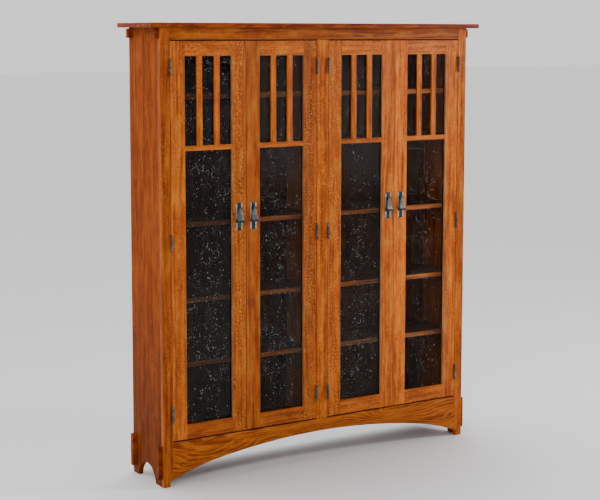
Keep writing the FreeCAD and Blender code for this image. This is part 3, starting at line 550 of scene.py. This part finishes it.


# Shelves
# Ten 19 mm oak boards, one to a bay at each level, that lie loose on turned pins in drilled holes. Their front
# faces and arrises are painted lighter than the rest: painted light, where they catch it.

# Painted light: a paler oak for the shelves' front faces and arrises.
lit_shelf_edge_oak = oak("lit_shelf_edge_oak", (150, 76, 30), (214, 122, 56), (236, 160, 90), flecks=0.3)
for level in range(1, 6):
    shelves = board_piece(f"shelf_{level}", "case", [inner_oak, lit_shelf_edge_oak, lit_shelf_edge_oak], [])
    # The front faces take the painted light.
    for face in shelves.data.polygons:
        if face.normal.y < -0.5:
            face.material_index = 2


# Doors
# Four doors, each with two stiles and two rails tenoned between them, a bar across and two mullions above it,
# all quartersawn for the ray fleck and stained like the face frame. Their upright edges carry a painted
# highlight.

DOORS = range(1, 5)
DOOR_ARRIS = 0.0018
STILES_AND_FOOT = {
    1: ((0.0, 0.5), (-0.3, 1.2), (-0.65, 0.3)),
    2: ((-0.6, 0.2), (-0.6, 1.1), (-0.5, 0.4)),
    3: ((-0.1, 1.0), (0.2, 0.4), (-0.15, 0.4)),
    4: ((0.7, 0.4), (0.3, 0.5), (0.0, 0.4)),
}
HEAD_LOOK = (0.0, 0.6)
GRILLE_LOOKS = ((-0.15, 0.4), (0.0, 0.5), (0.0, 0.3))
door_oak = oak("door_oak", (116, 44, 6), (194, 94, 16), (226, 136, 42), specular=0.16)
# Painted highlight: pale oak on the stiles' upright edge faces, for the light strip in the gaps.
gap_highlight_oak = oak("gap_highlight_oak", (130, 84, 54), (180, 134, 98), (210, 168, 132), flecks=0.1, specular=0.3, rough=0.4)
for number in DOORS:
    parts = [f"door_{number}_stiles", f"door_{number}_rails", f"door_{number}_grille"]
    door_neighbours = neighbours_of(parts)
    left_stile, right_stile, foot_rail = STILES_AND_FOOT[number]
    low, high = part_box(parts[0])
    # Painted shade: the top and bottom faces of each door go near black in the gaps.
    rims = ((low.z, 1), (high.z, -1))
    for node, looks in zip(parts, ((left_stile, right_stile), (foot_rail, HEAD_LOOK), GRILLE_LOOKS)):
        are_stiles = node == parts[0]
        finishes = [door_oak, wear_and_highlight_oak, gap_shade_oak]
        if are_stiles:
            finishes.append(gap_highlight_oak)
        boards = board_piece(
            node, f"door_{number}", finishes, door_neighbours,
            arris=DOOR_ARRIS, looks=looks, rims=rims,
        )
        # The stiles' upright edge faces take the painted highlight.
        if are_stiles:
            for face in boards.data.polygons:
                if abs(face.normal.x) > 0.9:
                    face.material_index = 3


# Glass
# One pane of seeded glass to a door, 3 mm thick: its faces ripple a little, small bubbles with painted glints
# stand in it, and oak stops hold it from the inside. A near-black veil of painted shade lies on it, heaviest on
# the left, and the case behind is dark, so it reads nearly black.

PANE_CELL = 0.012
RIPPLE = 0.00018
# Painted shade: how much of the near-black veil each pane gets, most on the left.
PANE_SHADE_VEIL = {1: 0.46, 2: 0.32, 3: 0.32, 4: 0.14}
SEEDS_PER_PANE = 360
SEED_MARGIN, SEED_SIDES, SEED_LEAN = 0.012, 8, 0.3
SEED_RADII = (0.0007, 0.0009, 0.0012, 0.0016)
SEED_STRETCH = (1.0, 2.2)

seeded = Finish("seeded_glass", {"IOR": 1.45, "Specular IOR Level": 0.28})
place = seeded.node("ShaderNodeTexCoord").outputs["Object"]
waves = seeded.noise(seeded.stretched(place, (38, 38, 16)), detail=2)
cells = seeded.node("ShaderNodeTexVoronoi", {"Vector": seeded.stretched(place, (125, 125, 85)), "Scale": 1})
# Painted glints: pale spots for the seeds, where they would catch the light.
bubble_glints = seeded.between(cells.outputs["Distance"], 0.27, 0.15)
rare = seeded.between(seeded.noise(seeded.stretched(place, (30, 30, 20)), detail=3), 0.42, 0.66)
bubble_glints = seeded.calc("MULTIPLY", bubble_glints, rare)
# Painted shade: the near-black veil over the glass, its share set per pane.
clear = seeded.mesh_value("shade_veil", "Fac")
seeded.feed(seeded.shader.inputs["Alpha"], seeded.between(bubble_glints, 0, 1, clear, 0.75))
shade_veil = seeded.tinted(stain(9, 7, 6), stain(15, 13, 12), waves)
seeded.rough_with(seeded.calc("ADD", seeded.calc("MULTIPLY", waves, 2), bubble_glints), 0.0003)
seeded_glass = seeded.coloured(seeded.tinted(shade_veil, stain(158, 156, 150), bubble_glints), 0.06)

# Painted glints: the bubbles' pale grey skin stands in for light caught on them.
bubble_skin = Finish("bubble_skin", {"Specular IOR Level": 0.6})
place = bubble_skin.node("ShaderNodeTexCoord").outputs["Object"]
haze = bubble_skin.noise(bubble_skin.stretched(place, (300, 300, 300)))
bubble_glint_colour = bubble_skin.tinted(stain(104, 102, 98), stain(180, 178, 172), haze)
bubble_glass = bubble_skin.coloured(bubble_glint_colour, bubble_skin.between(haze, 0.3, 0.7, 0.08, 0.2))


def pane_mesh(low, high, shade_veil):
    """A pane as a fine grid on both faces, each rippled inwards, and closed round the edge."""
    columns = round((high.x - low.x) / PANE_CELL)
    rows = round((high.z - low.z) / PANE_CELL)
    mesh = bmesh.new()
    faces = []
    for y, inward in ((low.y, 1), (high.y, -1)):
        grid = []
        for row in range(rows + 1):
            z = low.z + (high.z - low.z) * row / rows
            line = []
            for column in range(columns + 1):
                x = low.x + (high.x - low.x) * column / columns
                sway = math.sin(41 * x + 9 * y + 3 * math.sin(7 * z)) + math.sin(17 * z + 5 * math.sin(23 * x))
                line.append(mesh.verts.new((x, y + inward * RIPPLE * (2 + sway), z)))
            grid.append(line)
        faces.append(grid)
    front, back = faces
    for row in range(rows):
        for column in range(columns):
            corners = ((row, column), (row, column + 1), (row + 1, column + 1), (row + 1, column))
            mesh.faces.new([front[r][c] for r, c in corners])
            mesh.faces.new([back[r][c] for r, c in reversed(corners)])
    for row in range(rows):
        mesh.faces.new((back[row][0], front[row][0], front[row + 1][0], back[row + 1][0]))
        mesh.faces.new((front[row][-1], back[row][-1], back[row + 1][-1], front[row + 1][-1]))
    for column in range(columns):
        mesh.faces.new((front[0][column], back[0][column], back[0][column + 1], front[0][column + 1]))
        mesh.faces.new((back[-1][column], front[-1][column], front[-1][column + 1], back[-1][column + 1]))
    for face in mesh.faces:
        face.smooth = True
    tint = mesh.verts.layers.float.new("shade_veil")
    for vertex in mesh.verts:
        vertex[tint] = shade_veil
    return mesh


for number in DOORS:
    low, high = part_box(f"door_{number}_glass")
    pane = piece_from(pane_mesh(low, high, PANE_SHADE_VEIL[number]), f"door_{number}_seeded_pane", [seeded_glass])
    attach(pane, f"door_{number}")
    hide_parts(f"door_{number}_glass")
    seeds = bmesh.new()
    for _ in range(SEEDS_PER_PANE):
        x = random.triangular(low.x + SEED_MARGIN, high.x - SEED_MARGIN)
        z = random.uniform(low.z + SEED_MARGIN, high.z - SEED_MARGIN)
        radius = random.choice(SEED_RADII)
        long = random.uniform(*SEED_STRETCH)
        turned(
            seeds,
            (x, low.y + RIPPLE * 4, z - radius * long),
            (random.uniform(-SEED_LEAN, SEED_LEAN), 0, 1),
            ((0, 0.1 * radius), (0.3 * radius * long, 0.75 * radius), (radius * long, radius),
             (1.7 * radius * long, 0.75 * radius), (2 * radius * long, 0.1 * radius)),
            sides=SEED_SIDES,
        )
    for face in seeds.faces:
        face.smooth = True
    bubble_piece = piece_from(seeds, f"door_{number}_glass_seeds", [bubble_glass])
    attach(bubble_piece, f"door_{number}")
    board_piece(f"door_{number}_glass_stops", f"door_{number}", [inner_oak, inner_worn], [])


# Hinges
# Three rolled steel butt hinges to a door, oiled dark: leaves let into the edges of the stiles with screws, five
# knuckles standing in front of the frame, and a loose pin with a domed button at each end.

HINGE_ARRIS = 0.00035
BUTTON_RADIUS, BUTTON_HEIGHT = 0.0036, 0.002
PIN_RADIUS = 0.002
LEAF_SCREW_RADIUS, LEAF_SCREW_HEIGHT = 0.0028, 0.0003
LEAF_SCREW_INSET, LEAF_SCREW_STAGGER, LEAF_SCREW_STEP = 0.009, 0.003, 0.021

hinge_steel = metal("oiled_steel", (84, 74, 72), (140, 134, 134), 0.85, 0.36)
bright_steel = metal("rubbed_steel", (150, 146, 150), (190, 188, 192), 0.9, 0.28)


def metal_piece(node, body, finishes, arris):
    """A CAD node in metal, with a small true radius on every corner."""
    mesh = sawn(node)
    mark_arrises(mesh, [], 0)
    piece = piece_from(mesh, f"{node}_metal", finishes)
    round_over(piece, arris, 2, 1)
    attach(piece, body)
    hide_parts(node)
    return piece


def hinge_leaves(node, body):
    """The leaves of a node, each with three screws in the face that shows when its door is open."""
    metal_piece(node, body, [hinge_steel, bright_steel], HINGE_ARRIS)
    screws = bmesh.new()
    plates = sawn(node)
    for leaf in loose_boards(plates):
        low, high = reach_of(leaf)
        pin_x = (low.x + high.x) / 2
        face_x = min((vertex.co.x - pin_x for vertex in leaf if vertex.co.y > high.y - WELD), key=abs)
        outward = (-math.copysign(1, face_x), 0, 0)
        for step, side in ((-1, -1), (0, 1), (1, -1)):
            y = high.y - LEAF_SCREW_INSET + side * LEAF_SCREW_STAGGER
            z = (low.z + high.z) / 2 + step * LEAF_SCREW_STEP
            place = (pin_x + face_x, y, z)
            slotted_screw(screws, place, outward, LEAF_SCREW_RADIUS, LEAF_SCREW_HEIGHT)
    plates.free()
    leaf_screws = piece_from(screws, f"{node}_screws", [bright_steel])
    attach(leaf_screws, body)


hinge_leaves("case_hinge_leaves", "case")
for number in DOORS:
    hinge_leaves(f"door_{number}_hinge_leaves", f"door_{number}")

pin_mesh = bmesh.new()
shanks = sawn("hinge_pins")
for pin in loose_boards(shanks):
    low, high = reach_of(pin)
    foot = Vector(((low.x + high.x) / 2, (low.y + high.y) / 2, low.z))
    length = high.z - low.z
    dome = ((0, 0.55), (0.35, 0.9), (0.8, 1), (1, 0.98))
    profile = [(BUTTON_HEIGHT * rise, BUTTON_RADIUS * share) for rise, share in dome]
    profile += [(BUTTON_HEIGHT, PIN_RADIUS), (length - BUTTON_HEIGHT, PIN_RADIUS)]
    profile += [(length - BUTTON_HEIGHT * rise, BUTTON_RADIUS * share) for rise, share in reversed(dome)]
    turned(pin_mesh, foot, (0, 0, 1), profile)
shanks.free()
mark_arrises(pin_mesh, [], 1)
pins = piece_from(pin_mesh, "domed_hinge_pins", [hinge_steel])
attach(pins, "case")
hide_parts("hinge_pins")


# Pulls
# A drop pull on each meeting stile, hammered black iron: a back plate with a broad bevel, held by two round
# screws, two ears with a pin through them, and a blade that hangs from the pin and flares to a thick lip.

PLATE_BORDER, PLATE_EDGE, PLATE_THICKNESS, PLATE_ARRIS = 0.0052, 0.0006, 0.0025, 0.0004
PLATE_SCREW_INSET, PLATE_SCREW_RADIUS, PLATE_SCREW_HEIGHT = 0.0105, 0.0036, 0.0022
EAR_RADIUS, EAR_THICKNESS = 0.005, 0.0025
EYE_LENGTH, EAR_GAP = 0.012, 0.0003
PULL_PIN_RADIUS = 0.002
PIN_STANDOUT, PIN_TIP_RADIUS, PIN_TIP = 0.0008, 0.0012, 0.0003
PIVOT_STANDOUT, PIVOT_HEIGHT = 0.0095, 1.093
DROP_STANDOFF, EYE_END_RADIUS, EYE_EASE = 0.003, 0.0044, 0.0006
DROP_POINTS = 28
# Height of the band of painted shade on the lip.
LIP_HEIGHT = 0.007
# Up the drop from its lip: height, width, how far the back is tucked in, and how far the front stands out.
DROP_PROFILE = (
    (0.0, 0.0325, 0.0010, 0.0190),
    (0.0006, 0.0344, 0.0003, 0.0204),
    (0.0016, 0.0352, 0.0, 0.0210),
    (0.0042, 0.0352, 0.0, 0.0210),
    (0.0056, 0.0346, 0.0, 0.0204),
    (0.0068, 0.0330, 0.0, 0.0188),
    (0.0090, 0.0306, 0.0, 0.0168),
    (0.0120, 0.0284, 0.0, 0.0154),
    (0.0180, 0.0258, 0.0, 0.0144),
    (0.0300, 0.0212, 0.0, 0.0132),
    (0.0420, 0.0164, 0.0, 0.0120),
    (0.0490, 0.0128, 0.0004, 0.0112),
    (0.0530, 0.0104, 0.0014, 0.0106),
    (0.0540, 0.0088, 0.0026, 0.0098),
)

iron = metal("black_iron", (34, 44, 46), (70, 82, 84), 0.7, 0.40)
# Painted light: a lighter copy of the black iron for the blade, which catches the light.
lit_blade_iron = metal("lit_blade_iron", (84, 92, 98), (126, 132, 136), 0.7, 0.38)
# Painted highlight: pale iron for the plate's side bevels and the drop's right-facing faces.
highlight_iron = metal("highlight_iron", (150, 150, 148), (206, 204, 200), 0.8, 0.34)


def plate_ring(x, y, z, half_width, half_height):
    corners = ((-1, -1), (1, -1), (1, 1), (-1, 1))
    return [Vector((x + a * half_width, y, z + b * half_height)) for a, b in corners]


def drop_section(x, z, width, back, front):
    """One level section through the drop: nearly square, with soft corners."""
    ring = []
    for i in range(DROP_POINTS):
        angle = math.tau * i / DROP_POINTS
        across = math.copysign(abs(math.cos(angle)) ** 0.3, math.cos(angle)) * width / 2
        deep = math.copysign(abs(math.sin(angle)) ** 0.3, math.sin(angle))
        ring.append(Vector((x + across, (back + front) / 2 + deep * (back - front) / 2, z)))
    return ring


for number in DOORS:
    low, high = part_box(f"door_{number}_pull_drop")
    plate_low, plate_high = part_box(f"door_{number}_pull_plate")
    middle_x = (low.x + high.x) / 2
    face_y, plate_z = plate_high.y, (plate_low.z + plate_high.z) / 2
    half_width, half_height = (plate_high.x - plate_low.x) / 2, (plate_high.z - plate_low.z) / 2
    plate_front = face_y - PLATE_THICKNESS
    pivot = Vector((middle_x, face_y - PIVOT_STANDOUT, PIVOT_HEIGHT))
    plate = bmesh.new()
    loft(
        plate,
        (
            plate_ring(middle_x, face_y, plate_z, half_width, half_height),
            plate_ring(middle_x, face_y - PLATE_EDGE, plate_z, half_width, half_height),
            plate_ring(middle_x, plate_front, plate_z, half_width - PLATE_BORDER, half_height - PLATE_BORDER),
        ),
    )
    for side in (-1, 1):
        start = middle_x + side * (EYE_LENGTH / 2 + EAR_GAP)
        outline = [(face_y, -EAR_RADIUS * 1.25)]
        for i in range(9):
            angle = math.pi * i / 8
            outline.append((pivot.y - EAR_RADIUS * math.sin(angle), -EAR_RADIUS * math.cos(angle)))
        outline.append((face_y, EAR_RADIUS * 1.25))
        rings = [
            [Vector((start + side * step, y, pivot.z + rise)) for y, rise in outline]
            for step in (0, EAR_THICKNESS)
        ]
        loft(plate, rings)
    span = EYE_LENGTH / 2 + EAR_GAP + EAR_THICKNESS
    pin_length = 2 * (span + PIN_STANDOUT)
    turned(
        plate,
        pivot - Vector((span + PIN_STANDOUT, 0, 0)),
        (1, 0, 0),
        (
            (0, PIN_TIP_RADIUS),
            (PIN_TIP, PULL_PIN_RADIUS),
            (pin_length - PIN_TIP, PULL_PIN_RADIUS),
            (pin_length, PIN_TIP_RADIUS),
        ),
    )
    for side in (-1, 1):
        screw_z = plate_z + side * (half_height - PLATE_SCREW_INSET)
        slotted_screw(
            plate, (middle_x, plate_front, screw_z), (0, -1, 0), PLATE_SCREW_RADIUS, PLATE_SCREW_HEIGHT
        )
    bmesh.ops.recalc_face_normals(plate, faces=plate.faces)
    # The side bevels of the plate take the painted highlight.
    for face in plate.faces:
        if abs(face.normal.x) > 0.2 and face.calc_area() > 0.0003:
            face.material_index = 1
    mark_arrises(plate, [], 0.002)
    plate_piece = piece_from(plate, f"door_{number}_pull_back_plate", [iron, highlight_iron])
    round_over(plate_piece, PLATE_ARRIS, 2, 1)
    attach(plate_piece, f"door_{number}")
    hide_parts(f"door_{number}_pull_plate")

    drop = bmesh.new()
    back = face_y - DROP_STANDOFF
    foot = low.z
    loft(
        drop,
        [
            drop_section(middle_x, foot + rise, width, back - tuck, face_y - front)
            for rise, width, tuck, front in DROP_PROFILE
        ],
    )
    turned(
        drop,
        pivot - Vector((EYE_LENGTH / 2, 0, 0)),
        (1, 0, 0),
        (
            (0, EYE_END_RADIUS),
            (EYE_EASE, EAR_RADIUS),
            (EYE_LENGTH - EYE_EASE, EAR_RADIUS),
            (EYE_LENGTH, EYE_END_RADIUS),
        ),
        sides=DROP_POINTS,
    )
    bmesh.ops.recalc_face_normals(drop, faces=drop.faces)
    mark_arrises(drop, [], 1)
    # Painted shade: the lip's band takes the dark plate iron, for the shadow under the curled lip.
    for face in drop.faces:
        if max(vertex.co.z for vertex in face.verts) < foot + LIP_HEIGHT:
            face.material_index = 2
        # The right-facing faces of the drop take the painted highlight.
        elif face.normal.x > 0.35 and face.normal.y < 0.1:
            face.material_index = 1
    drop_piece = piece_from(drop, f"pull_{number}_drop", [lit_blade_iron, highlight_iron, iron])
    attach(drop_piece, f"pull_{number}")
    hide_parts(f"door_{number}_pull_drop")


# Small fittings
# Turned zinc pins under the shelves, and at the head of each door a magnetic catch in brown plastic with a
# plated strike screwed to the stile.

SHELF_PIN_ARRIS, CATCH_ARRIS, STRIKE_ARRIS = 0.0005, 0.0012, 0.0004
STRIKE_SCREW_RADIUS, STRIKE_SCREW_HEIGHT = 0.003, 0.0003

metal_piece("shelf_pins", "case", [zinc, zinc], SHELF_PIN_ARRIS)
plastic = Finish("catch_plastic", {"Specular IOR Level": 0.4})
place = plastic.node("ShaderNodeTexCoord").outputs["Object"]
pebble = plastic.noise(plastic.stretched(place, (1400, 1400, 1400)), detail=2)
plastic.rough_with(pebble, 0.00008)
brown_shade = plastic.tinted(stain(58, 36, 22), stain(72, 46, 30), pebble)
catch_plastic = plastic.coloured(brown_shade, plastic.between(pebble, 0.3, 0.7, 0.4, 0.55))
metal_piece("magnetic_catches", "case", [catch_plastic, catch_plastic], CATCH_ARRIS)
for number in DOORS:
    metal_piece(f"door_{number}_strike", f"door_{number}", [zinc, zinc], STRIKE_ARRIS)
    low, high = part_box(f"door_{number}_strike")
    screw = bmesh.new()
    middle = ((low.x + high.x) / 2, high.y, (low.z + high.z) / 2)
    slotted_screw(screw, middle, (0, 1, 0), STRIKE_SCREW_RADIUS, STRIKE_SCREW_HEIGHT)
    strike_screw = piece_from(screw, f"door_{number}_strike_screw", [zinc])
    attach(strike_screw, f"door_{number}")


# Floor, light and camera
# A pale studio floor under a white surround that is brighter behind, soft lights on the right and the left, and
# the camera where the photographer stood: well to the left, and about level with the slab.

FLOOR_REACH = 60
FLOOR_SHADE, FLOOR_TINT = (0.80, 0.80, 0.80, 1), (0.82, 0.82, 0.82, 1)
# How bright the surround is: by how far back it lies, and by how high.
FRONT_SKY, BACK_SKY = 0.10, 2.0
HORIZON_SHARE, ZENITH_SHARE = 0.55, 1.3
SKY_DEPTH, SKY_RISE = (-0.35, 0.45), (0.1, 0.7)
floor_mesh = bmesh.new()
bmesh.ops.create_grid(floor_mesh, x_segments=8, y_segments=8, size=FLOOR_REACH)
floor_paint = Finish("floor_paint", {"Specular IOR Level": 0.2})
speckle = floor_paint.noise(
    floor_paint.stretched(floor_paint.node("ShaderNodeNewGeometry").outputs["Position"], (3, 3, 3))
)
floor_colour = floor_paint.tinted(FLOOR_SHADE, FLOOR_TINT, speckle)
floor = piece_from(floor_mesh, "studio_floor", [floor_paint.coloured(floor_colour, 0.8)])

world = bpy.data.worlds.new("studio")
bpy.context.scene.world = world
world.use_nodes = True
sky = world.node_tree.nodes
join = world.node_tree.links.new
direction = sky.new("ShaderNodeSeparateXYZ")
join(sky.new("ShaderNodeTexCoord").outputs["Generated"], direction.inputs[0])
glow = sky.new("ShaderNodeMath")
glow.operation = "MULTIPLY"
shares = (("Y", SKY_DEPTH, (FRONT_SKY, BACK_SKY)), ("Z", SKY_RISE, (HORIZON_SHARE, ZENITH_SHARE)))
for i, (axis, reach, strengths) in enumerate(shares):
    fade = sky.new("ShaderNodeMapRange")
    fade.inputs["From Min"].default_value, fade.inputs["From Max"].default_value = reach
    fade.inputs["To Min"].default_value, fade.inputs["To Max"].default_value = strengths
    join(direction.outputs[axis], fade.inputs["Value"])
    join(fade.outputs[0], glow.inputs[i])
sky["Background"].inputs["Color"].default_value = (1, 1, 1, 1)
join(glow.outputs[0], sky["Background"].inputs["Strength"])


def soft_light(name, place, target, size, power):
    """A square or oblong soft light, turned towards its target."""
    lamp = bpy.data.lights.new(name, "AREA")
    lamp.shape = "RECTANGLE"
    lamp.size, lamp.size_y = size
    lamp.energy = power
    holder = bpy.data.objects.new(name, lamp)
    holder.location = place
    holder.rotation_euler = (Vector(target) - Vector(place)).to_track_quat("-Z", "Y").to_euler()
    bpy.context.scene.collection.objects.link(holder)


soft_light("key_light", (3.5, -2.1, 2.4), (0.1, -0.1, 1.1), (0.7, 0.9), 100)
soft_light("left_light", (-2.9, -2.9, 2.7), (-0.2, 0, 1.1), (1.6, 1.6), 62)
soft_light("side_light", (-2.5, 0.4, 2.9), (-0.75, 0, 1.5), (1.2, 1.2), 14)
soft_light("right_card", (3.4, -4.6, 1.7), (0.3, -0.1, 1.0), (2.2, 2.2), 18)

CAMERA_PLACE = Vector((-3.287, -5.113, 1.784))
HEADING, TILT = math.radians(31.76), math.radians(6.29)
SENSOR_WIDTH, FOCAL_LENGTH = 36, 87.0
SHIFT = (0.03, -0.0917)
forward = Vector((math.sin(HEADING) * math.cos(TILT), math.cos(HEADING) * math.cos(TILT), -math.sin(TILT)))
lens = bpy.data.cameras.new("camera")
lens.sensor_width = SENSOR_WIDTH
lens.lens = FOCAL_LENGTH
lens.shift_x, lens.shift_y = SHIFT
camera = bpy.data.objects.new("camera", lens)
camera.location = CAMERA_PLACE
camera.rotation_euler = forward.to_track_quat("-Z", "Y").to_euler()
bpy.context.scene.collection.objects.link(camera)
bpy.context.scene.camera = camera
